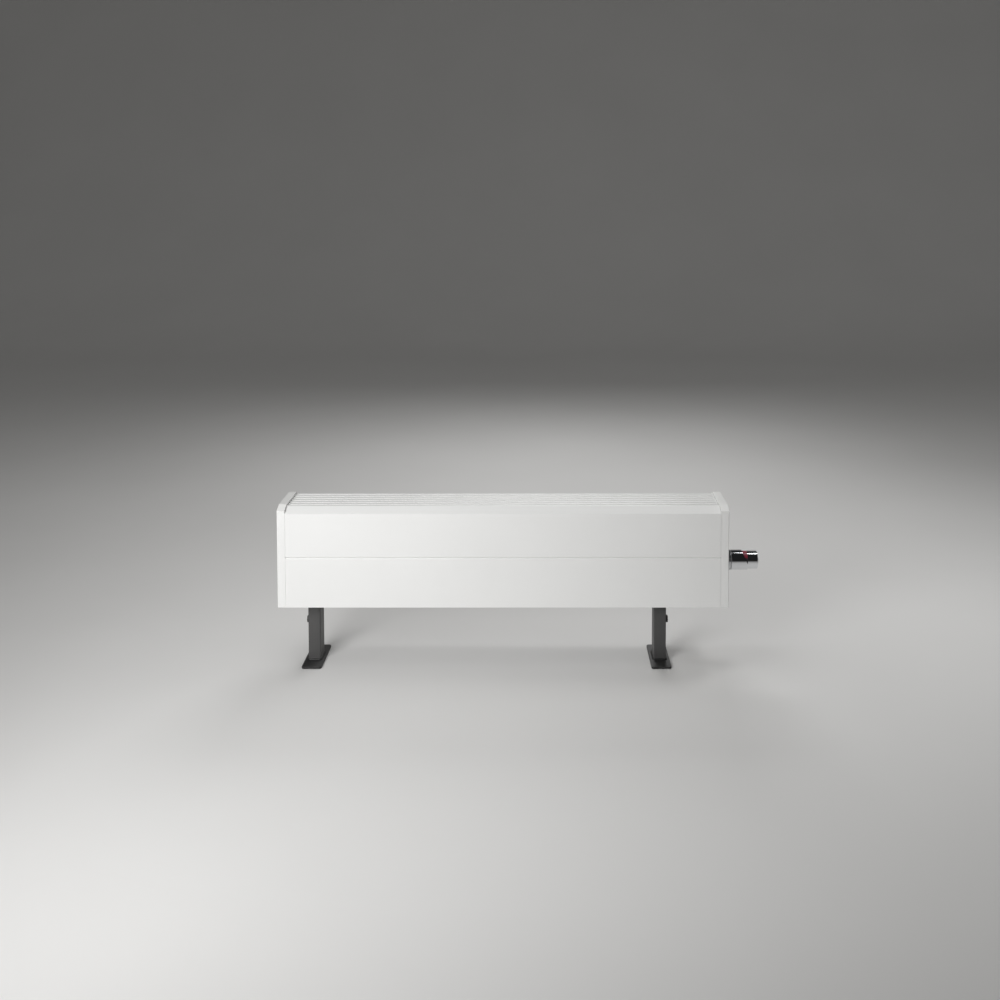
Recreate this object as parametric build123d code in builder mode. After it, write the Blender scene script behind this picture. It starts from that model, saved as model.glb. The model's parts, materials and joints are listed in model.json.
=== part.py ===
from build123d import *
import os

os.makedirs("parts", exist_ok=True)

# A freestanding convector radiator: a long, low steel casing on two legs, with a finned
# exchanger inside, an outlet grille on top and a thermostatic head on its right end.
# The origin is on the floor, midway between the two floor bolts. X runs along the casing
# towards the head, Y to the back and Z up. Lengths are in millimetres.

# Casing
casing_length = 900.0
casing_height = 200.0
casing_depth = 130.0
ground_clearance = 130.0
sheet = 1.2
bend_radius = 1.6
shoulder_depth = 20.0
shoulder_height = 10.0
bottom_flange = 12.0
groove_height = 100.0
groove_width = 5.0
groove_depth = 2.0
end_width = 16.0
panel_gap = 0.3

# Plastic caps on the ends of the top
cap_rise = 3.5
cap_slope = 8.0
cap_wall = 2.0
cap_edge = 0.8
tab_drop = 14.0
tab_width = 24.0
tab_centre = 30.0
tab_thickness = 1.6

# Grille
slat_width = 8.5
slat_height = 14.0
middle_slats = 5
edge_slat_width = 6.75
rest_width = 7.0
grille_side_gap = 0.5
rod_diameter = 5.0
rod_clearance = 0.1
rod_drop = 9.0
rod_count = 7
rod_end_margin = 24.0
slat_edge = 0.5

# Legs and feet
left_foot_inset = 63.5
right_foot_inset = 131.5
foot_tube_width = 25.0
foot_tube_depth = 40.0
tube_wall = 2.0
tube_corner = 2.5
plate_width = 40.0
plate_length = 110.0
plate_thickness = 4.0
plate_corner = 5.0
floor_hole_diameter = 9.0
leg_clearance = 0.3
foot_travel = 30.0
clamp_height = 82.0
bolt_diameter = 8.0
bolt_head_flats = 13.0
bolt_head_height = 5.3
bolt_hole_clearance = 0.1
slot_clearance = 0.45
nut_plate = 20.0
nut_thickness = 6.0
leg_overlap = 8.0

# Cradles and small fixings
cradle_width = 30.0
cradle_sheet = 2.0
cradle_base_height = 18.0
cradle_arm_top = 92.0
stud_diameter = 4.0
stud_length = 8.0
stud_clearance = 0.2
low_stud_rise = 20.0
high_stud_rise = 58.0
bracket_stud_inset = 18.0
end_stud_inset = 9.0
nut_flats = 7.0
nut_height = 3.2
bracket_sheet = 1.5
bracket_reach = 46.0
bracket_side = 25.0
bracket_low = 15.0
bracket_high = 91.0
spreader_width = 20.0
spreader_sheet = 2.0
spreader_count = 3
spreader_span = 560.0
screw_head_diameter = 6.0
screw_head_height = 2.0
screw_diameter = 3.4

# Heat exchanger
fin_side_gap = 15.0
fin_height = 90.0
fin_sheet = 0.5
fin_pitch = 7.0
fin_end_gap = 9.0
fin_bottom = 10.0
tube_diameter = 15.0
tube_thickness = 0.8
tube_spacing_y = 50.0
tube_low = 35.0
tube_high = 75.0
collar_thickness = 0.5
tube_clearance = 0.05
bend_inset = 44.0
saddle_length = 14.0
saddle_clearance = 0.2
saddle_rim = 3.0

# Manifolds and connections
connection_spacing = 50.0
manifold_diameter = 22.0
manifold_length = 72.0
manifold_wall = 2.0
port_diameter = 19.0
port_length = 16.0
tube_entry = 8.0
socket_flats = 27.0
socket_height = 16.0
socket_mouth = 4.0
thread_radius = 9.3
thread_depth = 12.0
water_bore = 13.0
riser_diameter = 20.0
vent_offset = 26.0
vent_flats = 12.0
vent_height = 9.0
vent_boss_diameter = 15.0
vent_boss_height = 15.0
vent_screw_diameter = 6.0
vent_screw_height = 8.0
screw_running_gap = 0.05

# Thermostatic valve, measured along X from the valve's centre
valve_inset = 42.0
valve_diameter = 26.0
valve_outlet = -22.0
valve_seat = -8.0
seat_thickness = 2.0
seat_bore = 10.0
outlet_bore = 14.0
chamber_diameter = 19.0
valve_shoulder = 20.0
neck_thread_diameter = 29.8
neck_start = 22.0
neck_end = 34.0
tail_diameter = 18.0
tail_port_end = 13.0
tail_nut_flats = 27.0
tail_nut_length = 12.0
fit_gap = 0.1
spindle_diameter = 4.0
spindle_gap = 0.05
valve_travel = 2.4
closed_gap = 0.2
seal_diameter = 12.0
seal_thickness = 1.5
plug_thickness = 3.0
insert_start = 8.0
pocket_floor = 21.0
pocket_diameter = 12.0
collar_diameter = 11.0
collar_width = 1.5
spring_wire = 1.0
spring_turns = 5

# Thermostatic head, measured along X from the outside of the end panel
neck_hole_diameter = 36.0
nut_gap = 0.8
nut_length = 12.4
nut_diameter = 39.4
nut_barrel_diameter = 34.0
nut_barrel_depth = 16.0
knurl_count = 44
knurl_radius = 0.7
sleeve_diameter = 40.0
sleeve_wall = 2.0
sleeve_end = 47.0
sleeve_cut_top = 36.4
sleeve_cut_drop = 24.0
head_gap = 0.3
handle_diameter = 36.0
handle_wall = 2.0
handle_side = 20.4
handle_dome = 4.2
handle_edge = 1.2
scale_ring_start = 31.0
scale_ring_diameter = 35.4
journal_diameter = 30.0
journal_gap = 0.08
base_start = 6.0
base_bore = 24.0
capsule_diameter = 22.0
capsule_start = 34.0
capsule_length = 26.0
capsule_boss_diameter = 8.0
capsule_boss_length = 5.0
push_boss_diameter = 6.0
pin_diameter = 5.0
overtravel_wire = 1.2
overtravel_turns = 3
overtravel_diameter = 13.0

# Return regulator, measured along X from the manifold's axis
lockshield_start = 9.0
lockshield_end = 26.0
lockshield_diameter = 18.0
lockshield_spindle_diameter = 8.0
lockshield_key = 4.0
lockshield_key_depth = 5.0
lockshield_cap_diameter = 22.0
lockshield_cap_start = 15.0
lockshield_cap_wall = 1.6

# Places that follow from the sizes above
foot_spacing = casing_length - left_foot_inset - right_foot_inset
x_left = -foot_spacing / 2 - left_foot_inset
x_right = x_left + casing_length
y_front = -casing_depth / 2
y_inner = casing_depth / 2 - sheet
z_bottom = ground_clearance
z_top = z_bottom + casing_height
z_shoulder = z_top - shoulder_height
z_groove = z_bottom + groove_height
z_rest = z_top - slat_height
feet_x = (-foot_spacing / 2, foot_spacing / 2)
panel_start = x_left + end_width + panel_gap
panel_length = casing_length - 2 * (end_width + panel_gap)
cradle_base = z_bottom + cradle_base_height
z_tube_low = z_bottom + tube_low
z_tube_high = z_bottom + tube_high
tube_rows_y = (-tube_spacing_y / 2, tube_spacing_y / 2)
tube_levels = (z_tube_low, z_tube_high)
tube_radius = tube_diameter / 2
x_valve = x_right - valve_inset
x_manifold = x_valve - connection_spacing
x_bends = x_left + bend_inset
z_mouth = z_bottom + socket_mouth
z_socket_top = z_mouth + socket_height


def save(node, label):
    """Labels a finished piece and writes it under that name."""
    node.part.label = label
    export_step(node.part, f"parts/{label}.step")


def yz(x, y=0.0, z=0.0):
    """A plane across the casing at x, with its own origin at y and z."""
    return Plane(origin=(x, y, z), x_dir=(0, 1, 0), z_dir=(1, 0, 0))


def floor_plane(x, y, z):
    """A level plane with its origin at the given point."""
    return Plane(origin=(x, y, z), x_dir=(1, 0, 0), z_dir=(0, 0, 1))


def facing_y(x, y, z):
    """A plane whose normal points to the back."""
    return Plane(origin=(x, y, z), x_dir=(-1, 0, 0), z_dir=(0, 1, 0))


def disc(plane, diameter, length, mode=Mode.ADD):
    """A round bar, or with Mode.SUBTRACT a bore, that starts at the plane."""
    with BuildSketch(plane) as outline:
        Circle(diameter / 2)
    extrude(outline.sketch, amount=length, mode=mode)


def block(plane, width, height, length, mode=Mode.ADD):
    """A bar of rectangular section that starts at the plane."""
    with BuildSketch(plane) as outline:
        Rectangle(width, height)
    extrude(outline.sketch, amount=length, mode=mode)


def hexagon(plane, flats, length):
    """A hexagonal bar with the given width across flats."""
    with BuildSketch(plane) as outline:
        RegularPolygon(flats / 2, 6, major_radius=False)
    extrude(outline.sketch, amount=length)


# Studs that are welded to the inside of the panels
stud_low = cradle_base + low_stud_rise
stud_high = cradle_base + high_stud_rise
bracket_stud_z = z_bottom + (bracket_low + bracket_high) / 2
cradle_studs = [(x, z) for x in feet_x for z in (stud_low, stud_high)]
bracket_studs = [
    (x_left + end_width + bracket_stud_inset, bracket_stud_z),
    (x_right - end_width - bracket_stud_inset, bracket_stud_z),
]
end_studs = [
    (x_left + end_stud_inset, bracket_stud_z),
    (x_right - end_stud_inset, bracket_stud_z),
]

# Front panel: a folded sheet with the groove, the shoulder and the rest for the grille
panel_outline = [
    (y_front + bottom_flange, z_bottom),
    (y_front, z_bottom),
    (y_front, z_groove - groove_width / 2),
    (y_front + groove_depth, z_groove),
    (y_front, z_groove + groove_width / 2),
    (y_front, z_shoulder),
    (y_front + shoulder_depth, z_top),
    (y_front + shoulder_depth, z_rest),
    (y_front + shoulder_depth + rest_width, z_rest),
]
with BuildPart() as front_panel:
    with BuildSketch(yz(panel_start)):
        with BuildLine():
            Polyline(*panel_outline)
            offset(amount=sheet, side=Side.RIGHT)
        make_face()
    extrude(amount=panel_length)
    for x, z in cradle_studs + bracket_studs:
        disc(facing_y(x, -y_inner, z), stud_diameter, stud_length)
save(front_panel, "front_panel")

# Back panel: the same sheet, facing the other way
with BuildPart() as back_panel:
    add(mirror(front_panel.part, about=Plane.XZ))
save(back_panel, "back_panel")


# End panels: sheets that wrap onto the front and the back
def end_panel(x_outer, inward):
    """An end sheet with its outer face at x_outer. inward is 1 at the left end and -1 at the right."""
    middle = x_outer + inward * end_width / 2
    height = z_shoulder - z_bottom
    with BuildPart() as panel:
        block(floor_plane(middle, 0, z_bottom), end_width, casing_depth, height)
        fillet(panel.edges().filter_by(Axis.Z).group_by(Axis.X)[0 if inward > 0 else -1], bend_radius)
        with Locations((x_outer + inward * (sheet + end_width) / 2, 0, (z_bottom + z_shoulder) / 2)):
            Box(end_width - sheet, casing_depth - 2 * sheet, height, mode=Mode.SUBTRACT)
        stud_x = end_studs[0][0] if inward > 0 else end_studs[1][0]
        disc(facing_y(stud_x, -y_inner, bracket_stud_z), stud_diameter, stud_length)
        disc(facing_y(stud_x, y_inner - stud_length, bracket_stud_z), stud_diameter, stud_length)
        if inward < 0:
            disc(yz(x_outer - 2 * sheet, 0, z_tube_high), neck_hole_diameter, 4 * sheet, Mode.SUBTRACT)
    return panel


for label, x_outer, inward in (("left_end_panel", x_left, 1), ("right_end_panel", x_right, -1)):
    save(end_panel(x_outer, inward), label)


# Top caps: plastic shells over the ends, open below, with two tabs that clip inside the end panel
def cap_outline(inset):
    """The cap's outline across the casing, drawn in by inset."""
    z_crown = z_top + cap_rise
    lip = z_crown - cap_slope
    side = y_front + inset
    crown = y_front + shoulder_depth + inset / 2
    return [
        (side, z_shoulder), (side, lip - inset / 2), (crown, z_crown - inset),
        (-crown, z_crown - inset), (-side, lip - inset / 2), (-side, z_shoulder),
    ]


def top_cap(x_outer, inward):
    """A cap whose outer end is at x_outer."""
    start = min(x_outer, x_outer + inward * end_width)
    inner_face = x_outer + inward * sheet
    with BuildPart() as cap:
        with BuildSketch(yz(start)) as outside:
            Polygon(*cap_outline(0), align=None)
        extrude(outside.sketch, amount=end_width)
        upper = cap.edges().group_by(Axis.Z)[1:]
        fillet(ShapeList(e for group in upper for e in group), cap_edge)
        with BuildSketch(yz(start + cap_wall)) as inside:
            Polygon(*cap_outline(cap_wall), align=None)
        extrude(inside.sketch, amount=end_width - 2 * cap_wall, mode=Mode.SUBTRACT)
        for y in (-tab_centre, tab_centre):
            middle = inner_face + inward * tab_thickness / 2
            top = z_top + cap_rise - cap_wall
            block(floor_plane(middle, y, z_shoulder - tab_drop), tab_thickness, tab_width,
                  top - z_shoulder + tab_drop)
    return cap


for label, x_outer, inward in (("left_top_cap", x_left, 1), ("right_top_cap", x_right, -1)):
    save(top_cap(x_outer, inward), label)

# Grille: bars along the casing on cross rods, lying on the rests of the two panels
grille_half_width = casing_depth / 2 - shoulder_depth - grille_side_gap
grille_start = x_left + end_width + panel_gap
grille_length = casing_length - 2 * (end_width + panel_gap)
slat_pitch = 2 * (grille_half_width - edge_slat_width + slat_width / 2) / (middle_slats + 1)
edge_slat_y = grille_half_width - edge_slat_width / 2
z_rod = z_top - rod_drop
rod_span = grille_length - 2 * rod_end_margin
rod_xs = [grille_start + rod_end_margin + i * rod_span / (rod_count - 1) for i in range(rod_count)]
slat_rows = [(slat_pitch * (i - (middle_slats - 1) / 2), slat_width) for i in range(middle_slats)]
slat_rows += [(-edge_slat_y, edge_slat_width), (edge_slat_y, edge_slat_width)]
with BuildPart() as grille_slats:
    for y, width in slat_rows:
        block(yz(grille_start, y, z_top - slat_height / 2), width, slat_height, grille_length)
    fillet(grille_slats.edges().filter_by(Axis.X).group_by(Axis.Z)[-1], slat_edge)
    for x in rod_xs:
        disc(facing_y(x, -casing_depth / 2, z_rod), rod_diameter + 2 * rod_clearance, casing_depth,
             Mode.SUBTRACT)
save(grille_slats, "grille_slats")

with BuildPart() as grille_rods:
    for x in rod_xs:
        disc(facing_y(x, -grille_half_width, z_rod), rod_diameter, 2 * grille_half_width)
save(grille_rods, "grille_rods")

# Spreaders: strips under the two grille rests that keep the panels at their distance
z_spreader = z_rest - sheet - spreader_sheet
rest_y = casing_depth / 2 - shoulder_depth - rest_width / 2
spreader_xs = [spreader_span * (i / (spreader_count - 1) - 0.5) for i in range(spreader_count)]
spreader_xs = [x + (x_left + x_right) / 2 for x in spreader_xs]
screw_points = [(x, y) for x in spreader_xs for y in (-rest_y, rest_y)]
with BuildPart() as top_spreaders:
    for x in spreader_xs:
        block(floor_plane(x, 0, z_spreader), spreader_width, 2 * rest_y + rest_width, spreader_sheet)
    for x, y in screw_points:
        disc(floor_plane(x, y, z_spreader), screw_diameter, spreader_sheet, Mode.SUBTRACT)
save(top_spreaders, "top_spreaders")

with BuildPart() as spreader_screws:
    for x, y in screw_points:
        disc(floor_plane(x, y, z_spreader), screw_diameter, spreader_sheet)
        disc(floor_plane(x, y, z_spreader - screw_head_height), screw_head_diameter, screw_head_height)
save(spreader_screws, "spreader_screws")

# Cradles: U brackets that stand on the legs, hold the panels and carry the exchanger
arm_top = z_bottom + cradle_arm_top
for label, x in (("left_cradle", feet_x[0]), ("right_cradle", feet_x[1])):
    with BuildPart() as cradle:
        block(floor_plane(x, 0, cradle_base), cradle_width, 2 * y_inner, arm_top - cradle_base)
        with Locations((x, 0, (cradle_base + cradle_sheet + arm_top) / 2)):
            Box(cradle_width, 2 * (y_inner - cradle_sheet), arm_top - cradle_base - cradle_sheet,
                mode=Mode.SUBTRACT)
        for z in (stud_low, stud_high):
            disc(facing_y(x, -casing_depth, z), stud_diameter + 2 * stud_clearance, 2 * casing_depth,
                 Mode.SUBTRACT)
    save(cradle, label)

# Corner brackets: angles behind the joints of the end panels with the front and the back
for label, x_end, inward in (("left_corner_brackets", x_left, 1), ("right_corner_brackets", x_right, -1)):
    web = x_end + inward * sheet
    with BuildPart() as corner_brackets:
        for side in (-1, 1):
            block(floor_plane(web + inward * bracket_reach / 2, side * (y_inner - bracket_sheet / 2),
                              z_bottom + bracket_low),
                  bracket_reach, bracket_sheet, bracket_high - bracket_low)
            block(floor_plane(web + inward * bracket_sheet / 2, side * (y_inner - bracket_side / 2),
                              z_bottom + bracket_low),
                  bracket_sheet, bracket_side, bracket_high - bracket_low)
        for x, z in bracket_studs + end_studs:
            disc(facing_y(x, -casing_depth, z), stud_diameter + 2 * stud_clearance, 2 * casing_depth,
                 Mode.SUBTRACT)
    save(corner_brackets, label)

# Nuts on the panel studs, behind the cradles and the corner brackets
with BuildPart() as panel_nuts:
    for studs, thickness in ((cradle_studs, cradle_sheet), (bracket_studs + end_studs, bracket_sheet)):
        for x, z in studs:
            near = y_inner - thickness - nut_height
            hexagon(facing_y(x, near, z), nut_flats, nut_height)
            hexagon(facing_y(x, -near - nut_height, z), nut_flats, nut_height)
            disc(facing_y(x, -casing_depth, z), stud_diameter, 2 * casing_depth, Mode.SUBTRACT)
save(panel_nuts, "panel_nuts")


# Legs: a tube under each cradle slides in the tube of its foot and is clamped by a side bolt
def square_tube(plane, width, depth, wall, corner, length):
    """A rectangular tube with rounded corners that starts at the plane."""
    with BuildSketch(plane) as ring:
        RectangleRounded(width, depth, corner)
        RectangleRounded(width - 2 * wall, depth - 2 * wall, max(corner - wall, corner / 5),
                         mode=Mode.SUBTRACT)
    extrude(ring.sketch, amount=length)


inner_width = foot_tube_width - 2 * tube_wall - 2 * leg_clearance
inner_depth = foot_tube_depth - 2 * tube_wall - 2 * leg_clearance
slot_width = bolt_diameter + 2 * slot_clearance
leg_foot = clamp_height - foot_travel - slot_width / 2 - leg_overlap
nut_near = inner_width / 2 - tube_wall - leg_clearance
for side, x, outward in (("left", feet_x[0], -1), ("right", feet_x[1], 1)):
    with BuildPart() as inner_leg:
        square_tube(floor_plane(x, 0, leg_foot), inner_width, inner_depth, tube_wall,
                    tube_corner - leg_clearance, cradle_base - leg_foot)
        slot_middle = clamp_height - foot_travel / 2
        slot_plane = Plane(origin=(x, 0, slot_middle), x_dir=(0, 0, 1), z_dir=(outward, 0, 0))
        with BuildSketch(slot_plane) as slot:
            SlotOverall(foot_travel + slot_width, slot_width)
        extrude(slot.sketch, amount=foot_tube_width, mode=Mode.SUBTRACT)
    save(inner_leg, f"{side}_inner_leg")

    bolt_plane = Plane(origin=(x, 0, clamp_height), x_dir=(0, 1, 0), z_dir=(outward, 0, 0))
    with BuildPart() as foot_tube:
        square_tube(floor_plane(x, 0, plate_thickness), foot_tube_width, foot_tube_depth, tube_wall,
                    tube_corner, cradle_base - leg_clearance - plate_thickness)
        disc(bolt_plane, bolt_diameter + 2 * bolt_hole_clearance, foot_tube_width, Mode.SUBTRACT)
    save(foot_tube, f"{side}_foot_tube")

    with BuildPart() as base_plate:
        with BuildSketch(floor_plane(x, 0, 0)) as plate:
            RectangleRounded(plate_width, plate_length, plate_corner)
            Circle(floor_hole_diameter / 2, mode=Mode.SUBTRACT)
        extrude(plate.sketch, amount=plate_thickness)
        chamfer(base_plate.faces().sort_by(Axis.Z)[-1].outer_wire().edges(), plate_thickness / 8)
    save(base_plate, f"{side}_base_plate")

    with BuildPart() as clamp_bolt:
        disc(bolt_plane.offset(nut_near - nut_thickness), bolt_diameter,
             foot_tube_width / 2 - nut_near + nut_thickness)
        hexagon(bolt_plane.offset(foot_tube_width / 2), bolt_head_flats, bolt_head_height)
        head_rim = clamp_bolt.faces().sort_by(Axis.X)[0 if outward < 0 else -1]
        chamfer(head_rim.edges(), bolt_head_height / 10)
    save(clamp_bolt, f"{side}_clamp_bolt")

    with BuildPart() as clamp_nut:
        block(bolt_plane.offset(nut_near - nut_thickness), nut_plate, nut_plate, nut_thickness)
        disc(bolt_plane, bolt_diameter, foot_tube_width, Mode.SUBTRACT)
    save(clamp_nut, f"{side}_clamp_nut")

# Heat exchanger: fins on four straight tubes, joined in pairs by bends at the left end
fin_depth = casing_depth - 2 * fin_side_gap
fins_start = feet_x[0] + cradle_width / 2 + fin_end_gap
fins_span = feet_x[1] - cradle_width / 2 - fin_end_gap - fins_start
fin_count = int((fins_span - fin_sheet) // fin_pitch) + 1
z_fins = z_bottom + fin_bottom + fin_height / 2
tube_points = [(y, z) for y in tube_rows_y for z in tube_levels]
with BuildPart() as fin_pack:
    with BuildSketch(*[yz(fins_start + i * fin_pitch) for i in range(fin_count)]):
        with Locations((0, z_fins)):
            Rectangle(fin_depth, fin_height)
    extrude(amount=fin_sheet)
    with BuildSketch(yz(fins_start)):
        with Locations(*tube_points):
            Circle(tube_radius + tube_clearance + collar_thickness)
    extrude(amount=(fin_count - 1) * fin_pitch + fin_sheet)
    with BuildSketch(yz(fins_start)):
        with Locations(*tube_points):
            Circle(tube_radius + tube_clearance)
    extrude(amount=(fin_count - 1) * fin_pitch + fin_sheet, mode=Mode.SUBTRACT)
save(fin_pack, "fin_pack")

tube_end = x_manifold - port_length + tube_entry
with BuildPart() as exchanger_tubes:
    with BuildSketch(yz(x_bends)):
        with Locations(*tube_points):
            Circle(tube_radius)
            Circle(tube_radius - tube_thickness, mode=Mode.SUBTRACT)
    extrude(amount=tube_end - x_bends)
save(exchanger_tubes, "exchanger_tubes")

with BuildPart() as return_bends:
    for y in tube_rows_y:
        with BuildSketch(yz(x_bends, y, z_tube_low)) as ring:
            Circle(tube_radius)
            Circle(tube_radius - tube_thickness, mode=Mode.SUBTRACT)
        bend_axis = Axis((x_bends, y, (z_tube_low + z_tube_high) / 2), (0, 1, 0))
        revolve(ring.sketch, axis=bend_axis, revolution_arc=180)
save(return_bends, "return_bends")

# Saddles: plastic rests on the cradles that hold the lower tubes
saddle_top = z_tube_low + tube_radius / 2
for label, x in (("left_tube_saddle", feet_x[0]), ("right_tube_saddle", feet_x[1])):
    with BuildPart() as saddle:
        foot_z = cradle_base + cradle_sheet
        block(floor_plane(x, 0, foot_z), saddle_length, tube_spacing_y + tube_diameter + 2 * saddle_rim,
              saddle_top - foot_z)
        with BuildSketch(yz(x - saddle_length / 2)) as tubes:
            with Locations(*[(y, z_tube_low) for y in tube_rows_y]):
                Circle(tube_radius + saddle_clearance)
        extrude(tubes.sketch, amount=saddle_length, mode=Mode.SUBTRACT)
    save(saddle, label)


# Manifolds: brass tubes across the casing that join the two tubes of one level
def manifold(z):
    """A closed brass tube with two ports for the exchanger's tubes and one towards the valve."""
    with BuildPart() as body:
        disc(facing_y(x_manifold, -manifold_length / 2, z), manifold_diameter, manifold_length)
        for y in tube_rows_y:
            disc(yz(x_manifold - port_length, y, z), port_diameter, port_length)
        disc(yz(x_manifold, 0, z), riser_diameter, tail_port_end)
        inner = manifold_length - 2 * manifold_wall
        disc(facing_y(x_manifold, -inner / 2, z), manifold_diameter - 2 * manifold_wall, inner,
             Mode.SUBTRACT)
        for y in tube_rows_y:
            disc(yz(x_manifold - port_length, y, z), tube_diameter + 2 * tube_clearance, port_length,
                 Mode.SUBTRACT)
    return body


def hex_socket(x):
    """A brass socket with a pipe thread that opens downwards."""
    with BuildPart() as socket:
        hexagon(floor_plane(x, 0, z_mouth), socket_flats, socket_height)
        disc(floor_plane(x, 0, z_mouth), 2 * thread_radius, thread_depth, Mode.SUBTRACT)
        disc(floor_plane(x, 0, z_mouth), water_bore, socket_height, Mode.SUBTRACT)
    return socket


supply_manifold = manifold(z_tube_high)
vent_y = vent_offset
z_vent_boss = z_tube_high + vent_boss_height
with supply_manifold:
    disc(floor_plane(x_manifold, vent_y, z_tube_high + manifold_diameter / 4), vent_boss_diameter,
         vent_boss_height - manifold_diameter / 4)
    disc(floor_plane(x_manifold, vent_y, z_tube_high), vent_screw_diameter + 2 * screw_running_gap,
         vent_boss_height, Mode.SUBTRACT)
    disc(yz(x_manifold, 0, z_tube_high), outlet_bore, tail_port_end, Mode.SUBTRACT)
save(supply_manifold, "supply_manifold")

return_manifold = manifold(z_tube_low)
with return_manifold:
    disc(floor_plane(x_manifold, 0, z_socket_top), riser_diameter, z_tube_low - z_socket_top)
    disc(floor_plane(x_manifold, 0, z_socket_top), water_bore, z_tube_low - z_socket_top, Mode.SUBTRACT)
    disc(facing_y(x_manifold, -manifold_length / 2 + manifold_wall, z_tube_low),
         manifold_diameter - 2 * manifold_wall, manifold_length - 2 * manifold_wall, Mode.SUBTRACT)
    disc(yz(x_manifold, 0, z_tube_low), lockshield_diameter - 2 * manifold_wall, tail_port_end,
         Mode.SUBTRACT)
save(return_manifold, "return_manifold")

for label, x in (("supply_socket", x_valve), ("return_socket", x_manifold)):
    save(hex_socket(x), label)

# Air vent on the supply manifold: a hexagonal plug with a slotted screw
with BuildPart() as air_vent:
    hexagon(floor_plane(x_manifold, vent_y, z_vent_boss), vent_flats, vent_height)
    disc(floor_plane(x_manifold, vent_y, z_vent_boss), vent_screw_diameter + 2 * screw_running_gap,
         vent_height, Mode.SUBTRACT)
save(air_vent, "air_vent")

with BuildPart() as vent_screw:
    vent_screw_top = z_vent_boss + vent_height + screw_head_height / 2
    disc(floor_plane(x_manifold, vent_y, vent_screw_top - vent_screw_height), vent_screw_diameter,
         vent_screw_height)
    block(floor_plane(x_manifold, vent_y, vent_screw_top - screw_head_height / 2), vent_screw_diameter,
          screw_head_height / 2, screw_head_height / 2, Mode.SUBTRACT)
save(vent_screw, "vent_screw")

# Return regulator in the lower manifold's port
with BuildPart() as lockshield_insert:
    start = x_manifold + tail_port_end
    disc(yz(start, 0, z_tube_low), lockshield_diameter, lockshield_end - tail_port_end)
    disc(yz(start, 0, z_tube_low), lockshield_spindle_diameter + 2 * screw_running_gap,
         lockshield_end - tail_port_end, Mode.SUBTRACT)
save(lockshield_insert, "lockshield_insert")

with BuildPart() as lockshield_spindle:
    disc(yz(x_manifold + lockshield_start, 0, z_tube_low), lockshield_spindle_diameter,
         lockshield_end - lockshield_start)
    with BuildSketch(yz(x_manifold + lockshield_end - lockshield_key_depth, 0, z_tube_low)) as key:
        RegularPolygon(lockshield_key / 2, 6, major_radius=False)
    extrude(key.sketch, amount=lockshield_key_depth, mode=Mode.SUBTRACT)
save(lockshield_spindle, "lockshield_spindle")

with BuildPart() as lockshield_cap:
    cap_start = x_manifold + lockshield_cap_start
    cap_length = lockshield_end + lockshield_cap_wall + head_gap - lockshield_cap_start
    disc(yz(cap_start, 0, z_tube_low), lockshield_cap_diameter, cap_length)
    disc(yz(cap_start, 0, z_tube_low), lockshield_diameter + 2 * fit_gap, cap_length - lockshield_cap_wall,
         Mode.SUBTRACT)
save(lockshield_cap, "lockshield_cap")

# Thermostatic valve: inlet from below, outlet towards the manifold, spindle towards the head
z_valve = z_tube_high
with BuildPart() as valve_body:
    disc(yz(x_valve + valve_outlet, 0, z_valve), valve_diameter, neck_start - valve_outlet)
    disc(yz(x_valve + neck_start, 0, z_valve), neck_thread_diameter, neck_end - neck_start)
    disc(floor_plane(x_valve, 0, z_socket_top), riser_diameter, z_valve - z_socket_top)
    disc(yz(x_valve + valve_outlet, 0, z_valve), outlet_bore, valve_seat - seat_thickness - valve_outlet,
         Mode.SUBTRACT)
    disc(yz(x_valve + valve_outlet, 0, z_valve), seat_bore, valve_seat - valve_outlet, Mode.SUBTRACT)
    disc(yz(x_valve + valve_seat, 0, z_valve), chamber_diameter, neck_end - valve_seat, Mode.SUBTRACT)
    disc(floor_plane(x_valve, 0, z_socket_top), water_bore, z_valve - z_socket_top, Mode.SUBTRACT)
save(valve_body, "valve_body")

x_tail = x_manifold + tail_port_end
tail_length = x_valve + valve_outlet - x_tail
with BuildPart() as valve_tail:
    disc(yz(x_tail, 0, z_valve), tail_diameter, tail_length)
    disc(yz(x_tail, 0, z_valve), outlet_bore, tail_length, Mode.SUBTRACT)
save(valve_tail, "valve_tail")

with BuildPart() as tail_nut:
    nut_start = x_valve + valve_outlet - tail_nut_length
    hexagon(yz(nut_start, 0, z_valve), tail_nut_flats, tail_nut_length)
    disc(yz(nut_start, 0, z_valve), tail_diameter + 2 * fit_gap, tail_nut_length, Mode.SUBTRACT)
save(tail_nut, "tail_nut")

with BuildPart() as valve_insert:
    disc(yz(x_valve + insert_start, 0, z_valve), chamber_diameter - 2 * fit_gap, neck_end - insert_start)
    disc(yz(x_valve + pocket_floor, 0, z_valve), pocket_diameter, neck_end - pocket_floor, Mode.SUBTRACT)
    disc(yz(x_valve + insert_start, 0, z_valve), spindle_diameter + 2 * spindle_gap,
         neck_end - insert_start, Mode.SUBTRACT)
save(valve_insert, "valve_insert")

# The moving stem: seal, plug and spindle, pushed by the transfer pin and returned by the spring
seal_start = x_valve + valve_seat + valve_travel + closed_gap
plug_start = seal_start + seal_thickness
x_neck_end = x_valve + neck_end
with BuildPart() as valve_spindle:
    disc(yz(plug_start, 0, z_valve), seal_diameter, plug_thickness)
    disc(yz(plug_start, 0, z_valve), spindle_diameter, x_neck_end - plug_start)
    disc(yz(x_neck_end - collar_width, 0, z_valve), collar_diameter, collar_width)
save(valve_spindle, "valve_spindle")

with BuildPart() as valve_seal:
    disc(yz(seal_start, 0, z_valve), seal_diameter, seal_thickness)
save(valve_seal, "valve_seal")


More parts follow.
